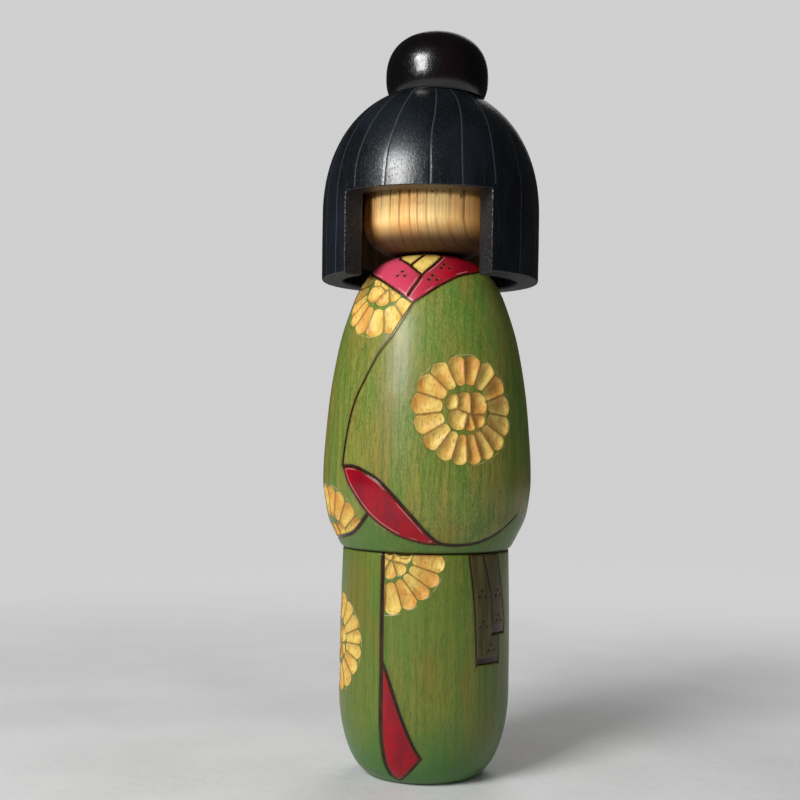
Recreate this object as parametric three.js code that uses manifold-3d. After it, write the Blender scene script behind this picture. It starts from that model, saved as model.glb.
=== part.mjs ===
// A kokeshi doll of turned and painted wood, 245 mm tall, in a flowered kimono and a bell of black hair.
//
// Millimetres, +Z up. The origin is the centre of the base, and the face looks towards -Y.
// Nearly every piece is turned on a lathe about the Z axis, so an outline is a list of (radius, height)
// points that runs outwards along the bottom, up the outside and back inwards over the top.
//
// The doll comes apart into a body (skirt and torso, pinned by the waist dowel) and a head (face
// barrel, hair shell and topknot, pinned by the crown dowel). The neck dowel is glued into the head
// and turns in the torso's neck bore.

import * as THREE from 'three';
import { mergeVertices } from 'three/addons/utils/BufferGeometryUtils.js';
import Module from 'manifold-3d';

// ---- Driving dimensions -------------------------------------------------------------------------

const SIDES = 48; // facets round each large turned piece
const DOWEL_SIDES = 24;
const GLUE_LINE = 0.1; // left between two faces or round a dowel that is glued in
const RUNNING_GAP = 0.07; // round the neck dowel where it turns in the torso

const WAIST_Z = 74; // where the torso sits on the skirt

const BASE_RADIUS = 16.2; // the flat face that the doll stands on
const BASE_CORNER_HEIGHT = 28; // how high the rounded bottom corner reaches
const SKIRT_RADIUS = 28;
const SKIRT_TOP_RADIUS = 27.4;
const WAIST_CHAMFER = 0.5; // on both edges of the groove between skirt and torso

// The torso swells over the sleeves, then slopes to the shoulders that the hair hides.
const TORSO_OUTLINE = [
  [27.8, WAIST_Z],
  [30.3, 78.7],
  [32.9, 84.7],
  [34.2, 92.7],
  [34.4, 99],
  [33.9, 108.7],
  [32.4, 124.7],
  [29.6, 140.7],
  [26.4, 151.5],
  [23.2, 159.3],
  [19.4, 164.7],
  [15.8, 167.8],
  [9, 170.4],
];
const TORSO_TOP_Z = 170.5;

const FACE_RADIUS = 22.3; // the natural-wood barrel under the hair
const FACE_BOTTOM_Z = 170.8;
const FACE_BOTTOM_RADIUS = 12; // flat under the chin
const FACE_CORNER_HEIGHT = 10.5;

const HAIR_RIM_Z = 161.7;
const HAIR_RIM_RADIUS = 36;
const HAIR_RADIUS = 36.1;
const HAIR_DOME_Z = 183.8; // above this the outside curves in
const HAIR_DOME_HEIGHT = 42.9;
const HAIR_DOME_POWER = 2.15; // 2 would be an ellipse
const HAIR_INNER_RADIUS = 29;
const HAIR_CEILING_Z = 196; // the face barrel's top meets this
const HAIR_INNER_FILLET = 6;
const HAIR_EDGE = 0.8; // rounding of the rim
const TOPKNOT_SEAT_Z = 223.2; // flat cut on the crown

const WINDOW_HALF_ANGLE = 40.5; // degrees either side of the front, cut from the rim upwards
const BANGS_Z = 188; // the window's top edge

const TOPKNOT_RADIUS = 17.1;
const TOPKNOT_Z = 230.2; // its widest height
const TOPKNOT_RISE = 15.2;
const TOPKNOT_DROP = 13.5;
const TOPKNOT_POWER = 2.35;
const TOPKNOT_OFFSET = 1.5; // glued on a little to one side

const WAIST_DOWEL = { radius: 6, bottom: 54.3, top: 93.7 };
const NECK_DOWEL = { radius: 5, bottom: 150.3, top: 186.7 };
const CROWN_DOWEL = { radius: 4, bottom: 189.3, top: 236 };
const DOWEL_END_SPACE = 0.3; // left past each end of a dowel
const DOWEL_CHAMFER = 0.6;

// ---- Finishes -----------------------------------------------------------------------------------

function finish(color, roughness) {
  return new THREE.MeshStandardMaterial({ color, roughness, metalness: 0 });
}

const GREEN_STAIN = finish(0x5f7a30, 0.4);
const BLACK_LACQUER = finish(0x12151c, 0.25);
const BARE_WOOD = finish(0xe2bd86, 0.5);
const DOWEL_WOOD = finish(0xcfae7c, 0.7);

// ---- Shape helpers ------------------------------------------------------------------------------

// Points along an arc about (cx, cz), from angle `from` to `to` in degrees, where 0 is outwards and
// 90 is up. Power 2 makes an ellipse, and more than 2 a squarer one.
function arc(cx, cz, rx, rz, from, to, steps, power = 2) {
  return Array.from({ length: steps + 1 }, (_, i) => {
    const a = THREE.MathUtils.degToRad(from + ((to - from) * i) / steps);
    const across = Math.abs(Math.cos(a)) ** (2 / power);
    const up = Math.sign(a) * Math.abs(Math.sin(a)) ** (2 / power);
    return [cx + rx * across, cz + rz * up];
  });
}

// The angle at which such an arc is `rise` above its centre, in degrees.
function arcAngle(rise, rz, power) {
  return THREE.MathUtils.radToDeg(Math.asin((rise / rz) ** (power / 2)));
}

// A smooth outline through a few points.
function smooth(points, steps) {
  const curve = new THREE.SplineCurve(points.map(([r, z]) => new THREE.Vector2(r, z)));
  return curve.getSpacedPoints(steps).map((p) => [p.x, p.y]);
}

// Turns an outline about the Z axis. The first facet edge is at the front, -Y.
function turned(outline, sides = SIDES) {
  const points = outline.map(([r, z]) => new THREE.Vector2(r, z));
  return new THREE.LatheGeometry(points, sides).rotateX(Math.PI / 2);
}

// The radius of the hole that a dowel is glued into.
function glued(dowel) {
  return dowel.radius + GLUE_LINE;
}

function dowelShape({ radius, bottom, top }) {
  return turned([
    [0, bottom],
    [radius - DOWEL_CHAMFER, bottom],
    [radius, bottom + DOWEL_CHAMFER],
    [radius, top - DOWEL_CHAMFER],
    [radius - DOWEL_CHAMFER, top],
    [0, top],
  ], DOWEL_SIDES);
}

const manifold = await Module();
manifold.setup();

function toSolid(geometry) {
  const bare = geometry.clone();
  bare.deleteAttribute('normal');
  bare.deleteAttribute('uv');
  const merged = mergeVertices(bare, 1e-4);
  return new manifold.Manifold(new manifold.Mesh({
    numProp: 3,
    vertProperties: new Float32Array(merged.attributes.position.array),
    triVerts: new Uint32Array(merged.index.array),
  }));
}

// The first geometry with the second one cut away.
function cut(geometry, cutter) {
  const mesh = toSolid(geometry).subtract(toSolid(cutter)).getMesh();
  const result = new THREE.BufferGeometry();
  result.setAttribute('position', new THREE.BufferAttribute(mesh.vertProperties, 3));
  result.setIndex(new THREE.BufferAttribute(mesh.triVerts, 1));
  result.computeVertexNormals();
  return result;
}

// ---- Body ---------------------------------------------------------------------------------------

function skirt() {
  const top = WAIST_Z - GLUE_LINE;
  const hole = glued(WAIST_DOWEL);
  const holeBottom = WAIST_DOWEL.bottom - DOWEL_END_SPACE;
  const cornerWidth = SKIRT_RADIUS - BASE_RADIUS;
  return turned([
    [0, 0],
    ...arc(BASE_RADIUS, BASE_CORNER_HEIGHT, cornerWidth, BASE_CORNER_HEIGHT, -90, 0, 9),
    [SKIRT_RADIUS, 44],
    [SKIRT_RADIUS - 0.2, 58],
    [SKIRT_TOP_RADIUS, top - WAIST_CHAMFER],
    [SKIRT_TOP_RADIUS - WAIST_CHAMFER, top],
    [hole, top],
    [hole, holeBottom],
    [0, holeBottom],
  ]);
}

function torso() {
  const hole = glued(WAIST_DOWEL);
  const holeTop = WAIST_DOWEL.top + DOWEL_END_SPACE;
  const bore = NECK_DOWEL.radius + RUNNING_GAP;
  const boreBottom = NECK_DOWEL.bottom - DOWEL_END_SPACE;
  const outside = smooth(TORSO_OUTLINE, 22);
  const [waistRadius] = outside[0];
  return turned([
    [0, holeTop],
    [hole, holeTop],
    [hole, WAIST_Z],
    [waistRadius - WAIST_CHAMFER, WAIST_Z],
    [waistRadius + 0.1, WAIST_Z + WAIST_CHAMFER],
    ...outside.slice(1),
    [bore, TORSO_TOP_Z],
    [bore, boreBottom],
    [0, boreBottom],
  ]);
}

// ---- Head ---------------------------------------------------------------------------------------

function faceBarrel() {
  const top = HAIR_CEILING_Z - GLUE_LINE;
  const neckHole = glued(NECK_DOWEL);
  const neckHoleTop = NECK_DOWEL.top + DOWEL_END_SPACE;
  const crownHole = glued(CROWN_DOWEL);
  const crownHoleBottom = CROWN_DOWEL.bottom - DOWEL_END_SPACE;
  const cornerZ = FACE_BOTTOM_Z + FACE_CORNER_HEIGHT;
  const cornerWidth = FACE_RADIUS - FACE_BOTTOM_RADIUS;
  return turned([
    [0, neckHoleTop],
    [neckHole, neckHoleTop],
    [neckHole, FACE_BOTTOM_Z],
    ...arc(FACE_BOTTOM_RADIUS, cornerZ, cornerWidth, FACE_CORNER_HEIGHT, -90, 0, 7),
    [FACE_RADIUS, top],
    [crownHole, top],
    [crownHole, crownHoleBottom],
    [0, crownHoleBottom],
  ]);
}

// The notch in the front of the hair: a wedge between two planes through the Z axis.
function windowCutter() {
  const reach = 2 * HAIR_RADIUS;
  const start = FACE_RADIUS / 2;
  const below = 10;
  const corner = (radius, degrees) => {
    const a = THREE.MathUtils.degToRad(degrees);
    return new THREE.Vector2(radius * Math.sin(a), -radius * Math.cos(a));
  };
  const wedge = new THREE.Shape([
    corner(start, -WINDOW_HALF_ANGLE),
    corner(reach, -WINDOW_HALF_ANGLE),
    corner(reach, WINDOW_HALF_ANGLE),
    corner(start, WINDOW_HALF_ANGLE),
  ]);
  const depth = BANGS_Z - HAIR_RIM_Z + below;
  return new THREE.ExtrudeGeometry(wedge, { depth, bevelEnabled: false, steps: 1 })
    .translate(0, 0, HAIR_RIM_Z - below);
}

function hairShell() {
  const bore = glued(CROWN_DOWEL);
  const filletZ = HAIR_CEILING_Z - HAIR_INNER_FILLET;
  const filletR = HAIR_INNER_RADIUS - HAIR_INNER_FILLET;
  const edge = HAIR_EDGE / 2;
  const seatAngle = arcAngle(TOPKNOT_SEAT_Z - HAIR_DOME_Z, HAIR_DOME_HEIGHT, HAIR_DOME_POWER);
  const bell = turned([
    [HAIR_INNER_RADIUS + edge, HAIR_RIM_Z],
    [HAIR_RIM_RADIUS - HAIR_EDGE, HAIR_RIM_Z],
    [HAIR_RIM_RADIUS, HAIR_RIM_Z + HAIR_EDGE],
    [HAIR_RADIUS, 174],
    ...arc(0, HAIR_DOME_Z, HAIR_RADIUS, HAIR_DOME_HEIGHT, 0, seatAngle, 12, HAIR_DOME_POWER),
    [bore, TOPKNOT_SEAT_Z],
    [bore, HAIR_CEILING_Z],
    ...arc(filletR, filletZ, HAIR_INNER_FILLET, HAIR_INNER_FILLET, 90, 0, 3),
    [HAIR_INNER_RADIUS, HAIR_RIM_Z + edge],
    [HAIR_INNER_RADIUS + edge, HAIR_RIM_Z],
  ]);
  return cut(bell, windowCutter());
}

// Turned about its own axis, then bored off centre by as much as it sits to one side.
function topknot() {
  const seat = TOPKNOT_SEAT_Z + GLUE_LINE;
  const seatAngle = arcAngle(TOPKNOT_Z - seat, TOPKNOT_DROP, TOPKNOT_POWER);
  const bun = turned([
    [0, seat],
    ...arc(0, TOPKNOT_Z, TOPKNOT_RADIUS, TOPKNOT_DROP, -seatAngle, 0, 3, TOPKNOT_POWER),
    ...arc(0, TOPKNOT_Z, TOPKNOT_RADIUS, TOPKNOT_RISE, 0, 90, 10, TOPKNOT_POWER).slice(1),
  ]);
  const hole = glued(CROWN_DOWEL);
  const holeTop = CROWN_DOWEL.top + DOWEL_END_SPACE;
  const drill = turned([[0, seat - 2], [hole, seat - 2], [hole, holeTop], [0, holeTop]], DOWEL_SIDES);
  return cut(bun, drill.translate(-TOPKNOT_OFFSET, 0, 0));
}

// ---- The doll -----------------------------------------------------------------------------------

function piece(name, geometry, material) {
  const mesh = new THREE.Mesh(geometry, material);
  mesh.name = name;
  return mesh;
}

const body = new THREE.Group();
body.add(
  piece('skirt', skirt(), GREEN_STAIN),
  piece('torso', torso(), GREEN_STAIN),
  piece('waist_dowel', dowelShape(WAIST_DOWEL), DOWEL_WOOD),
);

const head = new THREE.Group();
const bun = piece('topknot', topknot(), BLACK_LACQUER);
bun.position.x = TOPKNOT_OFFSET;
head.add(
  piece('neck_dowel', dowelShape(NECK_DOWEL), DOWEL_WOOD),
  piece('face_barrel', faceBarrel(), BARE_WOOD),
  piece('hair_shell', hairShell(), BLACK_LACQUER),
  piece('crown_dowel', dowelShape(CROWN_DOWEL), DOWEL_WOOD),
  bun,
);

const doll = new THREE.Group();
doll.add(body, head);

export default doll;
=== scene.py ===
# The looks of a kokeshi doll of turned, carved, stained and lacquered wood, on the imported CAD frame.
#
# The pieces are built in millimetres and scaled to metres as each mesh is made. A place on a turned
# piece is (angle, height): the angle runs round the doll in degrees, from the front (-Y) towards +X,
# and the height is Z. Each painted or carved line becomes a distance in millimetres stored on the
# mesh's points, which both moves the surface and tells the material where the paint is.

import math

import bmesh
import bpy
import numpy as np
from mathutils import Matrix, Vector

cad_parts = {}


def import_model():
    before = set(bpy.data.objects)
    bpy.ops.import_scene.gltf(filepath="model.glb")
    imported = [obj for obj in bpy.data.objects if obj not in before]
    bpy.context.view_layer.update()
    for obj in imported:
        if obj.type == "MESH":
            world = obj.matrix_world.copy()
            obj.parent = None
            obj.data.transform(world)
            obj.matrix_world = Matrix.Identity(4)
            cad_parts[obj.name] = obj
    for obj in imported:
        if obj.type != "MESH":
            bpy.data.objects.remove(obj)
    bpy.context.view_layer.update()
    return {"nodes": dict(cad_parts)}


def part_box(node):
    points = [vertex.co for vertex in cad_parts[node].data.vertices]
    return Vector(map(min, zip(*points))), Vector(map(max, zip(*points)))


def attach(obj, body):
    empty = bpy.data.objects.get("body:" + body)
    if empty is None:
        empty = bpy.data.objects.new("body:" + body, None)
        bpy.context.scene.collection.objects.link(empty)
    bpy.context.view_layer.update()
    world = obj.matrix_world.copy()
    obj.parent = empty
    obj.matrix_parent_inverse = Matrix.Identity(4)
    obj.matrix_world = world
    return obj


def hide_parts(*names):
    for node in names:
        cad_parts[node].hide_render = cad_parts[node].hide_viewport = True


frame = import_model()

MM = 0.001
REACH = 3.0  # distances from lines are kept up to this far

# ---- Sizes taken from the frame ----


def box(node):
    """The lowest and highest corner of a CAD node, in millimetres."""
    low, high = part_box(node)
    return np.array(low) / MM, np.array(high) / MM


GLUE_LINE = 0.1  # what the CAD leaves round a glued dowel and between glued faces
RUNNING_GAP = 0.07
DOWEL_END_SPACE = 0.3


def dowel(node):
    low, high = box(node)
    return {"radius": high[0], "bottom": low[2] - DOWEL_END_SPACE, "top": high[2] + DOWEL_END_SPACE}


WAIST_DOWEL = dowel("waist_dowel")
NECK_DOWEL = dowel("neck_dowel")
CROWN_DOWEL = dowel("crown_dowel")

WAIST_Z = box("torso")[0][2]
TORSO_TOP_Z = box("torso")[1][2]
SKIRT_RADIUS = box("skirt")[1][0]
FACE_RADIUS = box("face_barrel")[1][0]
FACE_BOTTOM_Z = box("face_barrel")[0][2]
FACE_TOP_Z = box("face_barrel")[1][2]
HAIR_RADIUS = box("hair_shell")[1][0]
HAIR_RIM_Z = box("hair_shell")[0][2]
TOPKNOT_SEAT_Z = box("hair_shell")[1][2]
TOPKNOT_LOW, TOPKNOT_HIGH = box("topknot")

# ---- Outlines, as in the CAD ----

BASE_RADIUS = 16.2
BASE_CORNER_HEIGHT = 28
SKIRT_TOP_RADIUS = 27.4
WAIST_CHAMFER = 0.5
TORSO_OUTLINE = [
    (27.8, 74), (30.3, 78.7), (32.9, 84.7), (34.2, 92.7), (34.4, 99), (33.9, 108.7), (32.4, 124.7),
    (29.6, 140.7), (26.4, 151.5), (23.2, 159.3), (19.4, 164.7), (15.8, 167.8), (9, 170.4),
]
FACE_BOTTOM_RADIUS = 12
FACE_CORNER_HEIGHT = 10.5
HAIR_RIM_RADIUS = 36
HAIR_SIDE_Z = 174  # the hair is widest from here up to its dome
HAIR_DOME_Z = 183.8
HAIR_DOME_HEIGHT = 42.9
HAIR_DOME_POWER = 2.15
HAIR_INNER_RADIUS = 29
HAIR_INNER_FILLET = 6
HAIR_EDGE = 0.8
WINDOW_HALF_ANGLE = 40.5
BANGS_Z = 188
TOPKNOT_Z = 230.2
TOPKNOT_POWER = 2.35
TOPKNOT_DROP = 13.5

# ---- Decoration of the torso ----

# The lapels. The one on the doll's left lies over the other, and both run on round the neck.
LAPEL_TIP = (-2.7, 152.7)
OVER_LAPEL_LOWER = [
    LAPEL_TIP, (6.8, 155.6), (15.8, 158.2), (24, 160), (34.7, 161.9), (51.7, 163.4), (90, 165.5),
    (180, 166.5),
]
UNDER_LAPEL_LOWER = [
    (-180, 166.5), (-85, 165), (-58.7, 163.2), (-38.2, 161), (-22.4, 158), (-5.5, 153.5), LAPEL_TIP,
]
LAPEL_CROSSING = [(-7.2, 155.2), (-4.4, 157.6), (-1.9, 159.2), (0.6, 161.1), (2.5, 162.3)]
OVER_LAPEL_UPPER = [
    (2.5, 162.3), (5.7, 163.6), (11.2, 165.3), (17.5, 167.2), (25.4, 168.9), (40, 170), (180, 170.4),
]
UNDER_LAPEL_UPPER = [(-180, 170.4), (-57, 169.6), (-30, 168), (-15.4, 166.2), (-7.3, 164.4), (1.6, 162)]
UNDER_COLLAR_LINE = [(-10.4, 165.5), (-5.6, 167.6), (-1.6, 169.6)]
UNDER_COLLAR_TOP_Z = 169.9

# The left front of the kimono crosses over the right one and ends at the sleeve opening.
OVERLAP_LINE = [
    (-2.7, 152.7), (-9.9, 146.7), (-15.4, 141.8), (-23.3, 135.9), (-30.7, 128.1), (-35.9, 122.2),
    (-39.3, 116.2), (-41.4, 109.7), (-42.5, 104.2), (-42.8, 100.8),
]
# The leaf of red lining that shows where the front turns back, and the hems of the sleeves.
LEAF_UPPER = [
    (-42.8, 100.8), (-34.3, 100.9), (-26.1, 99.4), (-17.9, 96.9), (-10.5, 93), (-4.4, 89.1),
    (1.8, 85.1), (8.1, 81), (14.6, 78), (19.6, 77),
]
LEAF_LOWER = [
    (-42.8, 100.8), (-38.5, 96), (-32.3, 91.1), (-25.1, 86.3), (-17.7, 82.8), (-8.9, 79.8),
    (-0.5, 78.2), (10, 77.1), (19.6, 77),
]
SLEEVE_HEM = [(19.6, 77), (29.9, 76.8), (41.5, 77.6), (53.3, 80), (60.9, 82.9), (69, 86.2)]
SIDE_HEM = [(-96, 79.5), (-76, 76.9), (-58.4, 77.8), (-42.3, 79.4), (-32.2, 82.4), (-25.4, 86)]
# The stain is deeper under the hems, and under this line where they end at the front and the back.
WHOLE_HEM = [
    (-180, 79.5), *SIDE_HEM, (-19.1, 82.4), (-5.9, 79.4), *SLEEVE_HEM, (84, 87.4), (110, 84.5),
    (145, 80.5), (180, 79.5),
]

# Flowers, as (angle, height, radius, turn in degrees). The last two are at the back.
TORSO_FLOWERS = [
    (29.6, 119, 17.2, 0), (-28, 158, 17.3, 9), (-62, 77, 18.5, 2), (150, 101, 17.5, 6),
    (-139, 138, 16.5, 14),
]

# Groups of three dots, as (angle, height).
LAPEL_DOTS = [(-16.8, 162.3), (11.1, 160.8), (23.2, 164.9)]

# ---- Decoration of the skirt ----

FRONT_LINE = [(-18.6, 3.4), (-20.6, 8), (-20.7, 16), (-20.2, 30), (-20.4, 50), (-21.1, 73.8)]
LINING_EDGE = [(-19.8, 40.2), (-15.6, 35.4), (-11.2, 29.7), (-4, 20.3), (1.8, 13.9), (7.1, 9.8)]
LINING_BOTTOM = [(-18.9, 3.6), (-11.7, 1.8), (-2, 5.2), (7.1, 9.8)]
SKIRT_FLOWERS = [(-17.5, 72.8, 18, 11), (-71, 43.6, 16.2, 3), (141, 30, 17, 11)]

# The two ends of the sash, as left edge, right edge and bottom. The second hangs over the first.
SASH_ENDS = [
    ([(44.6, 38), (43.4, 53), (41.3, 64), (38.6, 73.4)],
     [(66, 38), (66, 50), (64, 62), (60, 73)], 38.8),
    ([(58.6, 47), (58.7, 52), (57.4, 61.5), (50.5, 73.4)],
     [(73, 47), (74.6, 52), (71, 61), (66, 73)], 48),
]
SASH_BAR = 2.1  # the dark hem at the bottom of each end
SASH_DOTS = [(49.5, 61), (50.5, 51.5), (57.5, 43.8), (65.2, 61), (66, 53)]

# ---- Carving and paint widths ----

PETALS = 16
FLOWER_RADIUS = 17.5  # on average
PETAL_DRIFT = 0.08  # how far the petals bunch at one side of a flower, in radians
PETAL_SQUEEZE = 0.075  # and how far at two opposite sides
FLOWER_WOBBLE = 0.012  # how far from round the flowers are
CIRCLE_RADIUS = 1.01  # of the circle scratched round each flower, in flower radii
CIRCLE_WIDTH = 0.28
PETAL_OUTER = 0.865  # of the flower's radius, where the round outer ends begin
PETAL_ROUND = 0.135  # how far the round ends stand out
PETAL_INNER = 0.45
PETAL_TAPER = 0.05  # how far the corners of the inner ends are cut back
# The scoops that make the centre, as (x, y, reach) in flower radii.
CENTRE_SCOOPS = [
    (-0.22, 0.13, 0.15), (-0.03, 0.12, 0.2), (0.22, 0.12, 0.2), (-0.16, -0.14, 0.21),
    (0.07, -0.23, 0.15), (0.25, -0.15, 0.14),
]
PETAL_DEPTH = 2.0
SCOOP_DEPTH = 1.5
SCOOP_EDGE = 0.13  # how far in from its edge a scoop reaches its depth, in flower radii
INK_DEPTH = 0.22
DOT_RADIUS = 0.5
DOT_GROUP = [(-1.3, -0.5), (-0.1, 1.25), (1.35, -0.6)]  # to the right and up from the group's place

# Short dark strokes at the top of the face, as (angle, height of the top end, length, width), and a
# small ring mark, as (angle, height, radius).
FACE_STROKES = [
    (-46.4, 187.9, 1.2, 0.9), (-23, 188.4, 1.2, 0.6), (-10.5, 188.8, 2.4, 0.4), (9, 188.3, 0.4, 1.1),
    (18.8, 188.6, 1, 0.5), (25, 188.8, 1.8, 0.4), (33.7, 187.6, 1.6, 0.8),
]
FACE_KNOT = (-1.3, 186, 1.5)

# Angles of the fine lines cut down the hair, and how deep and wide they are.
HAIR_LINES = [
    -34, -15.7, 7.4, 24.2, 42.4, 61, 79.5, 98, 117, 134, 153, 171, -171.5, -153, -134.5, -117, -97.5,
    -79, -61.5, -48.5,
]
HAIR_LINE_DEPTH = 0.11
HAIR_LINE_WIDTH = 0.28
HAIR_SWING = 4.6  # degrees the lines swing by at the crown
# Waves that they wander in, as (degrees, mm up and degrees round for each radian of the wave).
HAIR_WAVES = [(0.25, 7.3, 9), (0.12, 3.1, 4)]
STIPPLE = 0.09  # how far the window's rough cut sides go in and out

# ---- Outline helpers ----


def arc(cx, cz, rx, rz, start, end, steps, power=2.0):
    """Points along an arc about (cx, cz). Angle 0 is outwards and 90 up; power 2 makes an ellipse."""
    a = np.radians(np.linspace(start, end, steps + 1))
    across = np.abs(np.cos(a)) ** (2 / power)
    up = np.sign(a) * np.abs(np.sin(a)) ** (2 / power)
    return np.column_stack([cx + rx * across, cz + rz * up])


def arc_angle(rise, rz, power):
    return math.degrees(math.asin((rise / rz) ** (power / 2)))


def smooth(points, per_span=8):
    """A smooth curve through a few points: a uniform Catmull-Rom spline."""
    p = np.asarray(points, float)
    p = np.vstack([p[0], p, p[-1]])
    t = np.linspace(0, 1, per_span, endpoint=False)[:, None]
    spans = []
    for a, b, c, d in zip(p, p[1:], p[2:], p[3:]):
        spans.append(b + 0.5 * t * (c - a + t * (2 * a - 5 * b + 4 * c - d + t * (3 * (b - c) + d - a))))
    return np.vstack([*spans, p[-1]])


def evenly(points, step):
    """Points about a step apart along a line, with both ends kept."""
    p = np.asarray(points, float)
    along = np.append(0, np.cumsum(np.linalg.norm(np.diff(p, axis=0), axis=1)))
    places = np.linspace(0, along[-1], max(1, round(along[-1] / step)) + 1)
    return np.column_stack([np.interp(places, along, axis) for axis in p.T])


def path(*parts):
    """Joins stretches of outline, each of them starting where the last one ended."""
    points = np.vstack(parts)
    keep = np.append(True, np.linalg.norm(np.diff(points, axis=0), axis=1) > 1e-6)
    return points[keep]


def straight(*points, step=2.0):
    """Points about a step apart along straight stretches, with every corner kept."""
    return path(*[evenly(pair, step) for pair in zip(points, points[1:])])


# ---- Turned surfaces ----


def round_angles(front_half, front_step, back_step):
    """Column angles from -180 up to 180: fine within front_half of the front, coarser behind."""
    front = np.linspace(-front_half, front_half, round(2 * front_half / front_step) + 1)
    side = 180 - front_half
    back = np.linspace(front_half, 180, round(side / back_step) + 1)[1:]
    return np.concatenate([-back[::-1], front, back[:-1]])


def around(radius, angle, height):
    """Points at a radius and a height, at an angle in degrees round the axis."""
    a = np.radians(angle)
    return np.stack(np.broadcast_arrays(radius * np.sin(a), -radius * np.cos(a), height), axis=-1)


class Turned:
    """A turned surface: rows of points up an outline, and columns of them round the axis."""

    def __init__(self, outline, angles):
        self.radius, self.height = np.asarray(outline, float).T
        self.angles = angles
        self.z = np.repeat(self.height[:, None], len(angles), axis=1)
        self.angle = np.broadcast_to(angles, self.z.shape)
        self.points = around(self.radius[:, None], angles, self.z)
        slope = np.gradient(np.column_stack([self.radius, self.height]), axis=0)
        slope /= np.maximum(np.linalg.norm(slope, axis=1, keepdims=True), 1e-9)
        self.normals = around(slope[:, 1:], angles, -slope[:, :1])
        # The outside is the stretch of outline that rises, further out than any dowel's hole.
        rising = np.gradient(self.height) > 0
        self.outside = rising & (self.radius > SKIRT_RADIUS / 4)
        self.fields = {}

    def place(self, angle, height):
        """The point of the outside at an angle and height."""
        height = np.asarray(height, float)
        radius = np.interp(height, self.height[self.outside], self.radius[self.outside])
        return around(radius, angle, height)

    def directions(self, angle, height):
        """Unit vectors along the surface, across and up, at a place."""
        a = math.radians(angle)
        below, over = self.place([angle, angle], [height - 1, height + 1])
        return np.array([math.cos(a), math.sin(a), 0]), (over - below) / np.linalg.norm(over - below)

    def distance(self, line):
        """How far each point is from a line of places, and how far along it the nearest place is."""
        line = self.place(*np.asarray(line).T)
        low = line.min(axis=0) - REACH
        high = line.max(axis=0) + REACH
        near = ((self.points > low) & (self.points < high)).all(axis=-1)
        points = self.points[near]
        best = np.full(len(points), REACH)
        along = np.zeros(len(points))
        for i, (start, end) in enumerate(zip(line, line[1:])):
            step = end - start
            t = np.clip((points - start) @ step / (step @ step), 0, 1)
            away = np.linalg.norm(points - start - t[:, None] * step, axis=1)
            closer = away < best
            best[closer] = away[closer]
            along[closer] = (i + t[closer]) / (len(line) - 1)
        distances = np.full(self.z.shape, REACH)
        distances[near] = best
        places = np.zeros(self.z.shape)
        places[near] = along
        return distances, places

    def stroke(self, line, width, end_width=None):
        """How far each point is inside a brushed line. Outside the line it is less than 0."""
        away, along = self.distance(smooth(line))
        ends = width if end_width is None else end_width
        return (width + (ends - width) * along) / 2 - away

    def above(self, line):
        """Signed distance from a line whose angles rise: more than 0 above it."""
        line = smooth(line)
        side = np.sign(self.z - np.interp(self.angle, line[:, 0], line[:, 1]))
        return side * self.distance(line)[0]

    def right_of(self, line):
        """Signed distance from a line whose heights rise: more than 0 on the side of larger angles."""
        line = smooth(line)
        side = np.sign(self.angle - np.interp(self.z, line[:, 1], line[:, 0]))
        return side * self.distance(line)[0]

    def dots(self, groups):
        """Groups of three round dots: how far each point is inside one."""
        inside = np.full(self.z.shape, -REACH)
        for angle, height in groups:
            centre = self.place(angle, height)
            across, up = self.directions(angle, height)
            for right, rise in DOT_GROUP:
                away = np.linalg.norm(self.points - (centre + right * across + rise * up), axis=-1)
                inside = np.maximum(inside, DOT_RADIUS - away)
        return inside

    def flowers(self, flowers, clips):
        """Where each point is in the nearest flower, in flower radii, and how far inside its clip."""
        fields = {"bloom": np.full(self.z.shape, np.inf), "petal_x": 0, "petal_y": 0, "clip": 0}
        for (angle, height, radius, turn), inside in zip(flowers, clips):
            offset = self.points - self.place(angle, height)
            across, up = self.directions(angle, height)
            rho = np.linalg.norm(offset, axis=-1) / radius
            theta = np.arctan2(offset @ up, offset @ across)
            # The petals were laid out by eye, and each flower is uneven in its own way.
            uneven = theta + math.radians(turn)
            uneven = uneven + PETAL_DRIFT * np.cos(theta + turn)
            uneven = uneven - PETAL_SQUEEZE * np.sin(2 * theta + turn)
            rho = rho * (1 + FLOWER_WOBBLE * np.sin(4 * theta + turn))
            closer = rho < fields["bloom"]
            found = {"bloom": rho, "petal_x": rho * np.cos(uneven), "petal_y": rho * np.sin(uneven),
                     "clip": inside}
            fields = {name: np.where(closer, found[name], fields[name]) for name in fields}
        return fields

    def carve(self, depth):
        """Moves the outside inwards by a depth in millimetres."""
        depth = np.where(self.outside[:, None], depth, 0)
        self.points = self.points - self.normals * depth[..., None]


def step_up(x, low, high):
    """0 below low, 1 above high, and a smooth rise between."""
    t = np.clip((x - low) / (high - low), 0, 1)
    return t * t * (3 - 2 * t)


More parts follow.
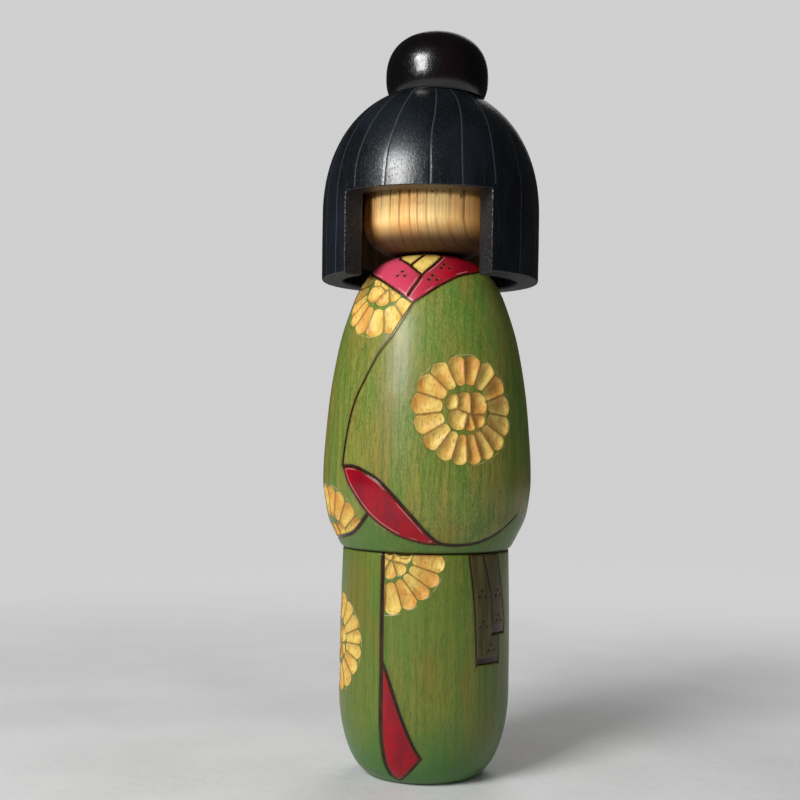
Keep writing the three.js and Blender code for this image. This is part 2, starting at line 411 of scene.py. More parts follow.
def petal_depth(fields):
    """How deep the gouge went at each point of the flowers."""
    x, y = fields["petal_x"], fields["petal_y"]
    rho = fields["bloom"]
    across = 2 * ((np.arctan2(y, x) * PETALS / (2 * math.pi)) % 1 - 0.5)
    outer = PETAL_OUTER + PETAL_ROUND * np.sqrt(np.clip(1 - across ** 2, 0, 1))
    inner = PETAL_INNER + PETAL_TAPER * across ** 2
    # Each petal is hollow across, runs out gently to its inner end and stops short at its outer end.
    along = np.clip((rho - inner) / (outer - inner), 0, 1)
    petal = PETAL_DEPTH * (1 - across ** 2) * along ** 0.7 * (1 - along ** 7)
    inside = [reach - np.hypot(x - scoop_x, y - scoop_y) for scoop_x, scoop_y, reach in CENTRE_SCOOPS]
    inside = np.sort(inside, axis=0)
    within = np.minimum(inside[-1], (inside[-1] - inside[-2]) / 2)
    scoop = SCOOP_DEPTH * (1 - np.clip(1 - within / SCOOP_EDGE, 0, 1) ** 2)
    return np.maximum(petal, scoop) * step_up(fields["clip"], 0.1, 0.7)


# ---- Meshes ----


def grid_faces(rows, columns, first=0, wrap=True):
    """Quads of a grid of points, whose numbers start at first. Their outside is to the right of a row
    that runs up."""
    numbers = first + np.arange(rows * columns).reshape(rows, columns)
    if wrap:
        numbers = np.column_stack([numbers, numbers[:, 0]])
    quads = np.stack([numbers[:-1, :-1], numbers[:-1, 1:], numbers[1:, 1:], numbers[1:, :-1]], axis=-1)
    return quads.reshape(-1, 4)


def new_object(name, data):
    obj = bpy.data.objects.new(name, data)
    bpy.context.scene.collection.objects.link(obj)
    return obj


def build(name, points, faces, fields, sharp=50):
    """An object from points in millimetres, with a float attribute on the points for each field."""
    mesh = bpy.data.meshes.new(name)
    mesh.from_pydata((points * MM).tolist(), [], faces.tolist())
    for field, values in fields.items():
        layer = mesh.attributes.new(field, "FLOAT", "POINT")
        layer.data.foreach_set("value", np.asarray(values, np.float32).ravel())
    bm = bmesh.new()
    bm.from_mesh(mesh)
    bmesh.ops.remove_doubles(bm, verts=bm.verts, dist=2e-3 * MM)
    bm.to_mesh(mesh)
    bm.free()
    mesh.shade_smooth()
    mesh.set_sharp_from_angle(angle=math.radians(sharp))
    return new_object(name, mesh)


def turned_object(name, surface):
    return build(name, surface.points.reshape(-1, 3), grid_faces(*surface.z.shape), surface.fields)


# ---- The pieces ----


def skirt_outline():
    """From the middle of the base, up the outside and down into the hole for the waist dowel."""
    hole = WAIST_DOWEL["radius"] + GLUE_LINE
    hole_end = WAIST_DOWEL["bottom"]
    top = WAIST_Z - GLUE_LINE
    shoulder = (SKIRT_TOP_RADIUS, top - WAIST_CHAMFER)
    rim = (SKIRT_TOP_RADIUS - WAIST_CHAMFER, top)
    corner = arc(BASE_RADIUS, BASE_CORNER_HEIGHT, SKIRT_RADIUS - BASE_RADIUS, BASE_CORNER_HEIGHT,
                 -90, 0, 60)
    wall = smooth([(SKIRT_RADIUS, BASE_CORNER_HEIGHT), (SKIRT_RADIUS, 44), (SKIRT_RADIUS - 0.2, 58),
                   shoulder])
    return path(
        straight((0, 0), (BASE_RADIUS, 0)),
        evenly(path(corner, wall), step=0.46),
        straight(shoulder, rim, step=0.3),
        straight(rim, (hole, top), (hole, hole_end), (0, hole_end), step=4),
    )


def make_skirt():
    skirt = Turned(skirt_outline(), round_angles(front_half=92, front_step=0.85, back_step=1.4))
    front = skirt.right_of(FRONT_LINE)
    lining = np.minimum(np.minimum(front, -skirt.above(LINING_EDGE)), skirt.above(LINING_BOTTOM))
    ink = [
        skirt.stroke(FRONT_LINE, 1.35),
        skirt.stroke(LINING_EDGE, 1.0),
        skirt.stroke(LINING_BOTTOM, 0.9),
    ]
    sash = np.full(skirt.z.shape, -REACH)
    for left, right, bottom in SASH_ENDS:
        end = np.minimum(skirt.right_of(left), -skirt.right_of(right))
        end = np.minimum(end, np.clip(skirt.z - bottom, -REACH, REACH))
        edges = [skirt.stroke(left, 0.6), skirt.stroke(right, 0.6)]
        bar = np.minimum(end, bottom + SASH_BAR - skirt.z)
        # The end that hangs in front hides the lines of the one behind.
        ink = [np.minimum(lines, -end) for lines in ink]
        ink += [np.minimum(line, skirt.z - bottom + 0.3) for line in edges] + [bar]
        sash = np.maximum(sash, end)
    everywhere = np.full(skirt.z.shape, REACH)
    skirt.fields = {
        "ink": np.maximum.reduce(ink),
        "red": lining,
        "sash": sash,
        "dots": skirt.dots(SASH_DOTS),
        "hem": -everywhere,
        "wedge": -everywhere,
        **skirt.flowers(SKIRT_FLOWERS, [front - 0.75, everywhere, everywhere]),
    }
    skirt.carve(carving(skirt.fields))
    return turned_object("skirt_wood", skirt)


def torso_outline():
    """From the top of the waist dowel's hole, up the outside and down into the neck bore."""
    hole = WAIST_DOWEL["radius"] + GLUE_LINE
    hole_end = WAIST_DOWEL["top"]
    bore = NECK_DOWEL["radius"] + RUNNING_GAP
    bore_end = NECK_DOWEL["bottom"]
    side = smooth(TORSO_OUTLINE, 20)
    waist_radius = side[0, 0]
    rim = (waist_radius - WAIST_CHAMFER, WAIST_Z)
    shoulder = (waist_radius + 0.1, WAIST_Z + WAIST_CHAMFER)
    side = np.vstack([shoulder, side[side[:, 1] > WAIST_Z + WAIST_CHAMFER]])
    closer_z = 150  # above this the rows are closer, for the lapels
    split = np.searchsorted(side[:, 1], closer_z)
    return path(
        straight((0, hole_end), (hole, hole_end), (hole, WAIST_Z), rim, step=4),
        straight(rim, shoulder, step=0.3),
        evenly(side[:split + 1], step=0.51),
        evenly(side[split:], step=0.42),
        straight(side[-1], (bore, TORSO_TOP_Z), step=1),
        straight((bore, TORSO_TOP_Z), (bore, bore_end), (0, bore_end), step=4),
    )


def make_torso():
    torso = Turned(torso_outline(), round_angles(front_half=86, front_step=0.78, back_step=1.4))
    above_v = np.minimum(torso.above(UNDER_LAPEL_LOWER), torso.above(OVER_LAPEL_LOWER))
    above_over = torso.above([(-10.5, 151), *LAPEL_CROSSING, *OVER_LAPEL_UPPER[1:]])
    above_under = torso.above(UNDER_LAPEL_UPPER)
    over_lapel = np.minimum(above_v, -above_over)
    under_lapel = np.minimum(np.minimum(above_v, -above_under), above_over)
    leaf = np.minimum(torso.above(LEAF_LOWER), -torso.above(LEAF_UPPER))
    overlap = torso.right_of(OVERLAP_LINE[::-1])
    side_hem = torso.above(SIDE_HEM)
    neck = np.minimum(above_under, above_over)
    ink = [
        torso.stroke(OVER_LAPEL_LOWER, 0.7),
        np.minimum(torso.stroke(UNDER_LAPEL_LOWER, 0.7), -over_lapel),
        torso.stroke(LAPEL_CROSSING, 0.8, 0.9),
        torso.stroke(OVER_LAPEL_UPPER, 0.85),
        torso.stroke(UNDER_LAPEL_UPPER, 0.85),
        np.minimum(torso.stroke(UNDER_COLLAR_LINE, 1.1), above_under),
        # Above the collar the neck is painted dark, as the shade under the chin.
        np.minimum(neck, np.clip(torso.z - UNDER_COLLAR_TOP_Z, -REACH, REACH)),
        torso.stroke(OVERLAP_LINE, 0.7, 0.95),
        torso.stroke(LEAF_UPPER, 1.05),
        torso.stroke(LEAF_LOWER, 0.6),
        torso.stroke(SLEEVE_HEM, 1.15, 0.45),
        torso.stroke(SIDE_HEM, 0.6, 1.3),
    ]
    everywhere = np.full(torso.z.shape, REACH)
    torso.fields = {
        "ink": np.maximum.reduce(ink),
        "red": np.maximum.reduce([over_lapel, under_lapel, leaf]),
        "wedge": neck,
        "sash": -everywhere,
        "dots": torso.dots(LAPEL_DOTS),
        "hem": -torso.above(WHOLE_HEM),
        **torso.flowers(TORSO_FLOWERS, [
            everywhere,
            np.minimum(-above_v, -overlap) - 0.5,
            np.minimum(side_hem, -leaf) - 0.6,
            everywhere,
            everywhere,
        ]),
    }
    torso.carve(carving(torso.fields))
    return turned_object("torso_wood", torso)


def carving(fields):
    """How deep the burnt lines, dots and petals are cut."""
    lines = INK_DEPTH * step_up(fields["ink"], -0.25, 0.25)
    dots = 0.5 * INK_DEPTH * step_up(fields["dots"], -0.2, 0.2)
    return petal_depth(fields) + lines + dots


def make_face():
    """The natural-wood barrel of the head, bored for the neck dowel and the crown dowel."""
    neck_hole = NECK_DOWEL["radius"] + GLUE_LINE
    neck_end = NECK_DOWEL["top"]
    crown_hole = CROWN_DOWEL["radius"] + GLUE_LINE
    crown_end = CROWN_DOWEL["bottom"]
    corner_z = FACE_BOTTOM_Z + FACE_CORNER_HEIGHT
    corner = arc(FACE_BOTTOM_RADIUS, corner_z, FACE_RADIUS - FACE_BOTTOM_RADIUS, FACE_CORNER_HEIGHT,
                 -90, 0, 40)
    outline = path(
        straight((0, neck_end), (neck_hole, neck_end), (neck_hole, FACE_BOTTOM_Z),
                 (FACE_BOTTOM_RADIUS, FACE_BOTTOM_Z), step=2),
        evenly(corner, step=0.45),
        straight((FACE_RADIUS, corner_z), (FACE_RADIUS, FACE_TOP_Z), step=0.45),
        straight((FACE_RADIUS, FACE_TOP_Z), (crown_hole, FACE_TOP_Z), (crown_hole, crown_end),
                 (0, crown_end), step=2),
    )
    face = Turned(outline, round_angles(front_half=60, front_step=1.1, back_step=2.5))
    face.outside = (face.radius > FACE_RADIUS - 0.01) & (face.height < FACE_TOP_Z - 0.01)
    strokes = [face.stroke([(angle, top), (angle, top - length)], width, 0)
               for angle, top, length, width in FACE_STROKES]
    angle, height, radius = FACE_KNOT
    from_knot = np.linalg.norm(face.points - face.place(angle, height), axis=-1)
    face.fields = {"strokes": np.maximum.reduce(strokes), "knot": 0.2 - np.abs(from_knot - radius)}
    return turned_object("face_wood", face)


def make_topknot():
    """The flattened ball on the crown. Its seat is closed: nothing shows of the dowel's hole."""
    radius = (TOPKNOT_HIGH[0] - TOPKNOT_LOW[0]) / 2
    offset = (TOPKNOT_HIGH[0] + TOPKNOT_LOW[0]) / 2
    seat, top = TOPKNOT_LOW[2], TOPKNOT_HIGH[2]
    seat_angle = arc_angle(TOPKNOT_Z - seat, TOPKNOT_DROP, TOPKNOT_POWER)
    lower = arc(0, TOPKNOT_Z, radius, TOPKNOT_DROP, -seat_angle, 0, 80, TOPKNOT_POWER)
    upper = arc(0, TOPKNOT_Z, radius, top - TOPKNOT_Z, 0, 90, 300, TOPKNOT_POWER)
    outline = path(straight((0, seat), lower[0], step=1.5), evenly(path(lower, upper), step=0.5))
    knot = Turned(outline, np.arange(-180, 180, 2.0))
    knot.points = knot.points + (offset, 0, 0)
    return turned_object("topknot_wood", knot)


# ---- Hair ----

WALL_ROWS = 48  # of the mesh, up each side of the window
RIM_ROWS = 14  # across the rim, and across the window's cut sides


def hair_angles():
    """Column angles round the hair: even, but closer at each cut line and at the window's edges."""
    angles = set(np.arange(-180, 180, 2.0))
    for line in HAIR_LINES:
        near = {round(line + offset, 3) for offset in (-1.3, -0.75, -0.4, 0, 0.4, 0.75, 1.3)}
        angles = {a for a in angles if abs(a - line) > 1.9} | near
    edges = {side * (WINDOW_HALF_ANGLE + offset) for side in (-1, 1) for offset in (-1, 0, 1)}
    angles = {a for a in angles if abs(abs(a) - WINDOW_HALF_ANGLE) > 1.4} | edges
    return np.array(sorted(angles))


def hair_outline():
    """From the crown down the inside, across the rim and up the outside to the topknot's seat. Also
    gives the row of the window's top edge on the inside."""
    hole = CROWN_DOWEL["radius"] + GLUE_LINE
    ceiling = FACE_TOP_Z + GLUE_LINE
    inner = HAIR_INNER_RADIUS
    fillet = HAIR_INNER_FILLET
    edge = HAIR_EDGE
    inside_top = path(
        straight((hole, TOPKNOT_SEAT_Z), (hole, ceiling), (inner - fillet, ceiling), step=2),
        arc(inner - fillet, ceiling - fillet, fillet, fillet, 90, 0, 8),
        straight((inner, ceiling - fillet), (inner, BANGS_Z), step=1),
    )
    inner_z = np.linspace(BANGS_Z, HAIR_RIM_Z + edge / 2, WALL_ROWS + 1)
    inner_wall = np.column_stack([np.full(len(inner_z), inner), inner_z])
    rim = evenly(path(
        arc(inner + edge / 2, HAIR_RIM_Z + edge / 2, -edge / 2, edge / 2, 0, -90, 6),
        arc(HAIR_RIM_RADIUS - edge, HAIR_RIM_Z + edge, edge, edge, -90, 0, 6)), step=0.01)
    rim = rim[np.linspace(0, len(rim) - 1, RIM_ROWS + 1).astype(int)]
    seat_angle = arc_angle(TOPKNOT_SEAT_Z - HAIR_DOME_Z, HAIR_DOME_HEIGHT, HAIR_DOME_POWER)
    dome = arc(0, HAIR_DOME_Z, HAIR_RADIUS, HAIR_DOME_HEIGHT, 0, seat_angle, 400, HAIR_DOME_POWER)
    outside = path([(HAIR_RIM_RADIUS, HAIR_RIM_Z + edge), (HAIR_RADIUS, HAIR_SIDE_Z)], dome)
    outer_z = np.linspace(HAIR_RIM_Z + edge, BANGS_Z, WALL_ROWS + 1)
    outer_wall = np.column_stack([np.interp(outer_z, outside[:, 1], outside[:, 0]), outer_z])
    upper = evenly(path(outer_wall[-1:], outside[outside[:, 1] > BANGS_Z]), step=0.8)
    top = straight(upper[-1], (hole, TOPKNOT_SEAT_Z), step=2)
    return path(inside_top, inner_wall, rim, outer_wall, upper, top), len(inside_top) - 1


def cut_hair_lines(hair):
    """Cuts the fine lines down the outside of the hair, and gives how far each point is from one."""
    ceiling = FACE_TOP_Z + GLUE_LINE
    from_line = np.full(hair.z.shape, REACH)
    for line in HAIR_LINES:
        away = np.abs((hair.angle - line + 180) % 360 - 180)
        near = np.radians(away) * hair.radius[:, None]
        if abs(abs(line) - WINDOW_HALF_ANGLE) < 3:  # ends at the corner of the window
            near = np.where(hair.z < BANGS_Z + 1.5, REACH, near)
        from_line = np.minimum(from_line, near)
    outside = ((hair.radius > HAIR_INNER_RADIUS + 3) | (hair.height > ceiling + 2))[:, None]
    from_line = np.where(outside, from_line, REACH)
    cut = HAIR_LINE_DEPTH * np.exp(-(from_line / HAIR_LINE_WIDTH) ** 2) * outside
    cut = cut * (hair.z > HAIR_RIM_Z + HAIR_EDGE) * (hair.z < TOPKNOT_SEAT_Z - 0.5)
    # The lines swing at the crown, and wander a little lower down except at the window's edges.
    swing = HAIR_SWING * step_up(hair.z, 196, 226) * (hair.z > ceiling)
    wander = sum(size * np.sin(hair.z / up + hair.angle / across) for size, up, across in HAIR_WAVES)
    calm = step_up(np.abs(np.abs(hair.angle) - WINDOW_HALF_ANGLE), 1.2, 4)
    wander = wander * calm * (hair.radius[:, None] > HAIR_INNER_RADIUS + 1)
    hair.points = around(hair.radius[:, None] - cut, hair.angle + swing + wander, hair.z)
    return from_line


def window_sides(hair, low_row, high_row, left, right):
    """The cut sides of the window and the underside of the bangs. Each is a grid of points, whether
    its faces are turned over, and how rough it is."""
    inner = hair.points[low_row:low_row + WALL_ROWS + 1]
    rim = hair.points[low_row + WALL_ROWS:low_row + WALL_ROWS + RIM_ROWS + 1]
    outer = hair.points[low_row + WALL_ROWS + RIM_ROWS:high_row + 1][::-1]
    across = np.linspace(0, 1, RIM_ROWS + 1)[:, None]
    sink = np.linspace(0, 1, WALL_ROWS + 1)[:, None, None] ** 12
    rng = np.random.default_rng(7)
    for column, turned_over in ((left, False), (right, True)):
        wall = inner[:, column, None] * (1 - across) + outer[:, column, None] * across
        # Its lowest rows bend to meet the rounded rim.
        wall = wall + sink * (rim[:, column] - wall[-1])
        stipple = rng.uniform(-STIPPLE, STIPPLE, wall.shape[:2])
        stipple[[0, -1]] = 0
        stipple[:, [0, -1]] = 0
        a = math.radians(hair.angles[column])
        yield wall + stipple[..., None] * (math.cos(a), math.sin(a), 0), turned_over, 1.0
    bangs_in = hair.points[low_row, left:right + 1]
    bangs_out = hair.points[high_row, left:right + 1]
    yield bangs_in[:, None] * (1 - across) + bangs_out[:, None] * across, True, 0.6


def make_hair():
    """The bell of hair: a turned shell with the window cut out of its front."""
    outline, low_row = hair_outline()
    high_row = low_row + 2 * WALL_ROWS + RIM_ROWS
    hair = Turned(outline, hair_angles())
    lines = [cut_hair_lines(hair).ravel()]
    rows, columns = hair.z.shape
    left, right = (np.argmin(np.abs(hair.angles - side * WINDOW_HALF_ANGLE)) for side in (-1, 1))
    kept = np.ones((rows - 1, columns), bool)
    kept[low_row:high_row, left:right] = False
    points = [hair.points.reshape(-1, 3)]
    faces = [grid_faces(rows, columns)[kept.ravel()]]
    stipples = [np.zeros(hair.z.size)]
    for side, turned_over, rough in window_sides(hair, low_row, high_row, left, right):
        quads = grid_faces(*side.shape[:2], first=sum(len(p) for p in points), wrap=False)
        faces.append(quads[:, ::-1] if turned_over else quads)
        points.append(side.reshape(-1, 3))
        lines.append(np.full(len(points[-1]), REACH))
        stipples.append(np.full(len(points[-1]), rough))
    fields = {"line": np.concatenate(lines), "stipple": np.concatenate(stipples)}
    obj = build("hair_wood", np.vstack(points), np.vstack(faces), fields, sharp=40)
    bevel = obj.modifiers.new("rounded edges", "BEVEL")
    bevel.width = 0.3 * MM
    bevel.segments = 2
    bevel.limit_method = "ANGLE"
    bevel.angle_limit = math.radians(55)
    return obj


# ---- Materials ----


def colour(code):
    """A linear colour from a web colour such as 'd8b070'."""
    parts = [int(code[i:i + 2], 16) / 255 for i in (0, 2, 4)]
    return (*[c / 12.92 if c <= 0.04045 else ((c + 0.055) / 1.055) ** 2.4 for c in parts], 1)


def joined_by(operation):
    """A method that puts a value and another one through a math node."""
    return lambda value, other: value.nodes.math(operation, value, other)


class Value:
    """A number or colour flowing between nodes, so that formulas can be written as such."""

    def __init__(self, nodes, socket):
        self.nodes = nodes
        self.socket = socket

    __add__ = __radd__ = joined_by("ADD")
    __sub__ = joined_by("SUBTRACT")
    __mul__ = joined_by("MULTIPLY")
    __truediv__ = joined_by("DIVIDE")
    minimum = joined_by("MINIMUM")
    maximum = joined_by("MAXIMUM")

    def __rsub__(self, other):
        return self.nodes.math("SUBTRACT", other, self)

    def apply(self, operation):
        return self.nodes.math(operation, self)

    def rise(self, low, high):
        """0 below low, 1 above high, smooth between. Low may be the larger, and then it falls."""
        inputs = {"Value": self, "From Min": low, "From Max": high}
        return self.nodes.add("ShaderNodeMapRange", "Result", inputs, interpolation_type="SMOOTHSTEP")

    def blend(self, start, end):
        """The colour start where this is 0 and end where it is 1."""
        return self.nodes.add("ShaderNodeMix", 2, {0: self, 6: start, 7: end}, data_type="RGBA")


class Nodes:
    """A material's nodes, with short calls for the ones used here."""

    def __init__(self, name):
        self.material = bpy.data.materials.new(name)
        self.material.use_nodes = True
        self.tree = self.material.node_tree
        self.shader = self.tree.nodes["Principled BSDF"]
        place = self.add("ShaderNodeTexCoord", "Object", {})
        self.place = self.add("ShaderNodeMapping", "Vector", {"Vector": place, "Scale": [1 / MM] * 3})

    def feed(self, socket, value):
        """Links a value to a socket, or sets the socket to a number or a web colour."""
        if isinstance(value, Value):
            self.tree.links.new(value.socket, socket)
        else:
            socket.default_value = colour(value) if isinstance(value, str) else value

    def add(self, kind, output, inputs, **settings):
        """Adds a node, feeds some of its inputs by name or number, and returns one of its outputs."""
        node = self.tree.nodes.new(kind)
        for name, setting in settings.items():
            setattr(node, name, setting)
        for name, value in inputs.items():
            self.feed(node.inputs[name], value)
        return Value(self, node.outputs[output])

    def math(self, operation, *values):
        return self.add("ShaderNodeMath", 0, dict(enumerate(values)), operation=operation)

    def attribute(self, name):
        return self.add("ShaderNodeAttribute", "Fac", {}, attribute_name=name)

    def axis(self, letter):
        """One coordinate of the place on the piece, in millimetres."""
        return self.add("ShaderNodeSeparateXYZ", letter, {0: self.place})

    def noise(self, size, stretch=1.0, detail=2.0, seed=0.0):
        """Noise from 0 to 1 with features of a size in millimetres, drawn out upwards by stretch."""
        scale = (1 / size, 1 / size, 1 / (size * stretch))
        inputs = {"Vector": self.place, "Location": [seed] * 3, "Scale": scale}
        place = self.add("ShaderNodeMapping", "Vector", inputs)
        return self.add("ShaderNodeTexNoise", "Fac", {"Vector": place, "Scale": 1, "Detail": detail})

    def bump(self, height, strength=1.0):
        """Bumps the surface by a height in millimetres."""
        inputs = {"Height": height, "Distance": MM, "Strength": strength}
        self.feed(self.shader.inputs["Normal"], self.add("ShaderNodeBump", "Normal", inputs))

    def finish(self, base, roughness, **fixed):
        """Feeds the shader, and sets what is the same all over, such as coat_weight, on its sockets."""
        self.feed(self.shader.inputs["Base Color"], base)
        self.feed(self.shader.inputs["Roughness"], roughness)
        for name, value in fixed.items():
            title = name.replace("_", " ").title().replace("Ior", "IOR")
            self.shader.inputs[title].default_value = value
        return self.material


def layered(base, *layers):
    """A base colour with layers over it, each as (how strongly it shows, its colour)."""
    for strength, over in layers:
        base = strength.blend(base, over)
    return base


def flower_masks(n):
    """How far inside a petal or scoop, how near the fold between two, where shade is painted, and how
    far inside the flower's circle.
    """
    x, y, bloom, clip = (n.attribute(name) for name in ("petal_x", "petal_y", "bloom", "clip"))
    rho = (x * x + y * y).apply("SQRT")
    theta = n.math("ARCTAN2", y, x)
    across = ((theta * (PETALS / (2 * math.pi))).apply("FRACT") - 0.5) * 2
    outer = (1 - across * across).maximum(0).apply("SQRT") * PETAL_ROUND + PETAL_OUTER
    inner = across * across * PETAL_TAPER + PETAL_INNER
    ridge = (1 - across.apply("ABSOLUTE")) * rho * (math.pi / PETALS)
    petal = (outer - rho).minimum(rho - inner).minimum(ridge + 0.02)
    best, second = -9, -9
    for scoop_x, scoop_y, reach in CENTRE_SCOOPS:
        aside, along = x - scoop_x, y - scoop_y
        within = reach - (aside * aside + along * along).apply("SQRT")
        second = n.math("MAXIMUM", second, n.math("MINIMUM", best, within))
        best = n.math("MAXIMUM", best, within)
    between = (best - second) / 2
    inside = petal.maximum(best).minimum(1.03 - bloom) * FLOWER_RADIUS
    petals = rho.rise(PETAL_INNER - 0.04, PETAL_INNER - 0.02)
    crease_shade = (ridge * petals + between * (1 - petals)) * FLOWER_RADIUS
    circle = CIRCLE_WIDTH / 2 - (bloom - CIRCLE_RADIUS).apply("ABSOLUTE") * FLOWER_RADIUS
    return inside.minimum(clip), crease_shade, circle.minimum(clip)


def rings(n, spacing, seed, lean):
    """Growth rings of a blank whose heart is off to one side, seen as upright lines."""
    bend = (n.noise(16, 8, seed=seed) - 0.5) * spacing * 2.2
    return ((n.axis("X") + n.axis("Y") * lean + bend) / spacing).apply("FRACT")


def green_stain(n, height, streak, fine):
    """Green stain over upright grain, browner in places, and darker on the skirt."""
    skirt = height.rise(WAIST_Z + 0.2, WAIST_Z - 0.2)
    broad = n.noise(7, 6, 3)
    dashes = n.noise(0.4, 10, 1, seed=81)
    grit = n.noise(0.55, 1.8, seed=61)
    patch = n.noise(26, 1.6, seed=5)
    brown = n.noise(9, 3.5, 3, seed=71)
    ring = rings(n, 2.6, 27, 0.12)
    ring = ring.rise(0.5, 0.9) * ring.rise(1.0, 0.94) * n.noise(7, 5, seed=43).rise(0.35, 0.6)
    return layered(
        broad.rise(0.34, 0.66).blend("5f7a30", "807a34"),
        (streak.rise(0.45, 0.68) * 0.45, "928a40"),
        (streak.rise(0.5, 0.3) * 0.45, "52702c"),
        (fine.rise(0.46, 0.66) * 0.5, "3d4e1e"),
        (dashes.rise(0.6, 0.7) * (skirt * 0.25 + 0.3), "2c3a14"),
        (grit.rise(0.5, 0.7) * 0.3, "98a058"),
        (patch.rise(0.45, 0.7) * 0.3, "5c823a"),
        (brown.rise(0.52, 0.66) * (skirt * 0.3 + 0.25), "8e6c2c"),
        (skirt * 0.45, "4a5e16"),
        (ring * 0.4, "3c5a1e"),
        # It is bluer and deeper where it has run down to the foot and under the sleeves.
        (height.rise(26, 2) * 0.75, "356b33"),
        (n.attribute("hem").rise(-0.1, 0.35) * 0.65, "3c662c"),
    )


def gouged_wood(n, worn):
    """Golden wood where the stain is cut away, worn in places and dotted with dark pores."""
    pores = n.noise(0.5, 2.2, seed=41)
    return layered(
        n.noise(7, 1.5, seed=17).rise(0.38, 0.62).blend("d8bb62", "cc9848"),
        (worn.rise(0.48, 0.68) * 0.6, "b07c34"),
        (pores.rise(0.6, 0.7) * 0.5, "744c16"),
    )


def crimson_paint(n, height, fine):
    """The linings' red, paler pink on the lapels, most of all on the doll's right: partly faded paint,
    partly a painted sheen from the light on that side.
    """
    sheen_and_fade = height.rise(140, 150) * n.axis("X").rise(14, -12)
    return layered(
        n.noise(5, 3, 3, seed=13).rise(0.3, 0.7).blend("9c0418", "7a081c"),
        (fine.rise(0.45, 0.65) * 0.3, "640c1c"),
        (sheen_and_fade * 0.7, "cc4a66"),
    )


def stained_wood():
    """Green stain with carved gold flowers, red linings, a drab sash and burnt brown lines."""
    n = Nodes("stained wood")
    height = n.axis("Z")
    streak = n.noise(2.4, 14, 3, seed=11)
    fine = n.noise(0.5, 13, seed=23)
    worn = n.noise(0.9, 3, 3, seed=31)
    inside, crease_shade, circle = flower_masks(n)
    gold = gouged_wood(n, worn)
    sash = n.noise(1.2, 12, seed=7).rise(0.35, 0.7).blend("3e3716", "554e22")
    red = n.attribute("red")
    thin = (red - 0.95).apply("ABSOLUTE").rise(0.17, 0.06) * n.noise(6, 1, 1, seed=19).rise(0.4, 0.55)
    ink = n.attribute("ink").maximum(n.attribute("dots"))
    burnt = (ink + (n.noise(0.5, 3, seed=29) - 0.5) * 0.18).rise(-0.07, 0.07)
    lines = n.noise(2, 3, seed=37).rise(0.3, 0.7).blend("1a0e05", "35200c")
    # Painted highlight: the lines are paler just under the lapels, where the overlap's line runs through
    # the torso's highlight.
    lines = (height.rise(118, 150) * height.rise(156, 151) * 0.8).blend(lines, "5a5024")
    painted_groove_shade = (height - WAIST_Z).apply("ABSOLUTE").rise(0.6, 0.2)
    base = layered(
        green_stain(n, height, streak, fine),
        # Painted shade just outside the cut edges, and brown in the creases between the petals.
        (inside.rise(-0.7, -0.1) * 0.3, "5a4c1a"),
        (inside.rise(-0.06, 0.08), (crease_shade.rise(0.6, 0.0) * 0.8).blend(gold, "70451a")),
        # A circle is scratched round each flower.
        (circle.rise(0, 0.08) * n.noise(4, 1, seed=3).rise(0.45, 0.6) * 0.6, "c9bd8e"),
        (n.attribute("sash").rise(-0.05, 0.1), sash),
        (n.attribute("wedge").rise(-0.05, 0.1), gold),
        (red.rise(-0.05, 0.1), crimson_paint(n, height, fine)),
        # A thin pale line runs inside the lapels' edges.
        (thin * height.rise(WAIST_Z, WAIST_Z + 1) * 0.55, "c8a8a0"),
        # The wood is scorched beside the burnt lines.
        (ink.rise(-0.9, 0.0) * 0.35, "4a3312"),
        (burnt, lines),
        # Painted shade in the groove between the two turned pieces.
        (painted_groove_shade * 0.85, "1f1a0c"),
    )
    bare = inside.rise(-0.05, 0.1)
    varnished = red.rise(-0.05, 0.1).maximum(burnt)
    grain = (fine * 2 + streak) * (1 - varnished * 0.6) * 0.016 + n.noise(0.35, 1, 1, seed=2) * 0.008
    n.bump(grain + worn * bare * 0.12 - ink.rise(-0.2, 0.2) * 0.12, strength=0.9)
    roughness = 0.33 + fine * 0.1 + bare * 0.16 - varnished * 0.15
    return n.finish(base, roughness, specular_ior_level=0.32, coat_weight=0.08, coat_roughness=0.2)


def lacquer(n, dark, middle, light, gloss):
    """Black lacquer over grain that just shows: its colour, roughness and relief. A smaller gloss is
    a glossier finish."""
    grain = n.noise(0.7, 22, 3)
    cloud = n.noise(14, 2, seed=9)
    speckle = n.noise(0.55, 1.6, seed=14)
    base = layered(
        cloud.rise(0.35, 0.65).blend(dark, middle),
        (grain.rise(0.5, 0.7) * 0.5, light),
    )
    roughness = gloss + cloud * 0.08 + grain * 0.06 + speckle.rise(0.5, 0.7) * gloss * 0.6
    relief = grain * 0.02 + n.noise(2.2, 3, seed=4) * 0.015 + speckle.rise(0.45, 0.75) * gloss * 0.1
    return base, roughness, relief


def topknot_lacquer():
    n = Nodes("topknot lacquer")
    base, roughness, relief = lacquer(n, "050505", "10070a", "0a080b", gloss=0.16)
    n.bump(relief)
    return n.finish(base, roughness, coat_weight=0.3, coat_roughness=0.12)


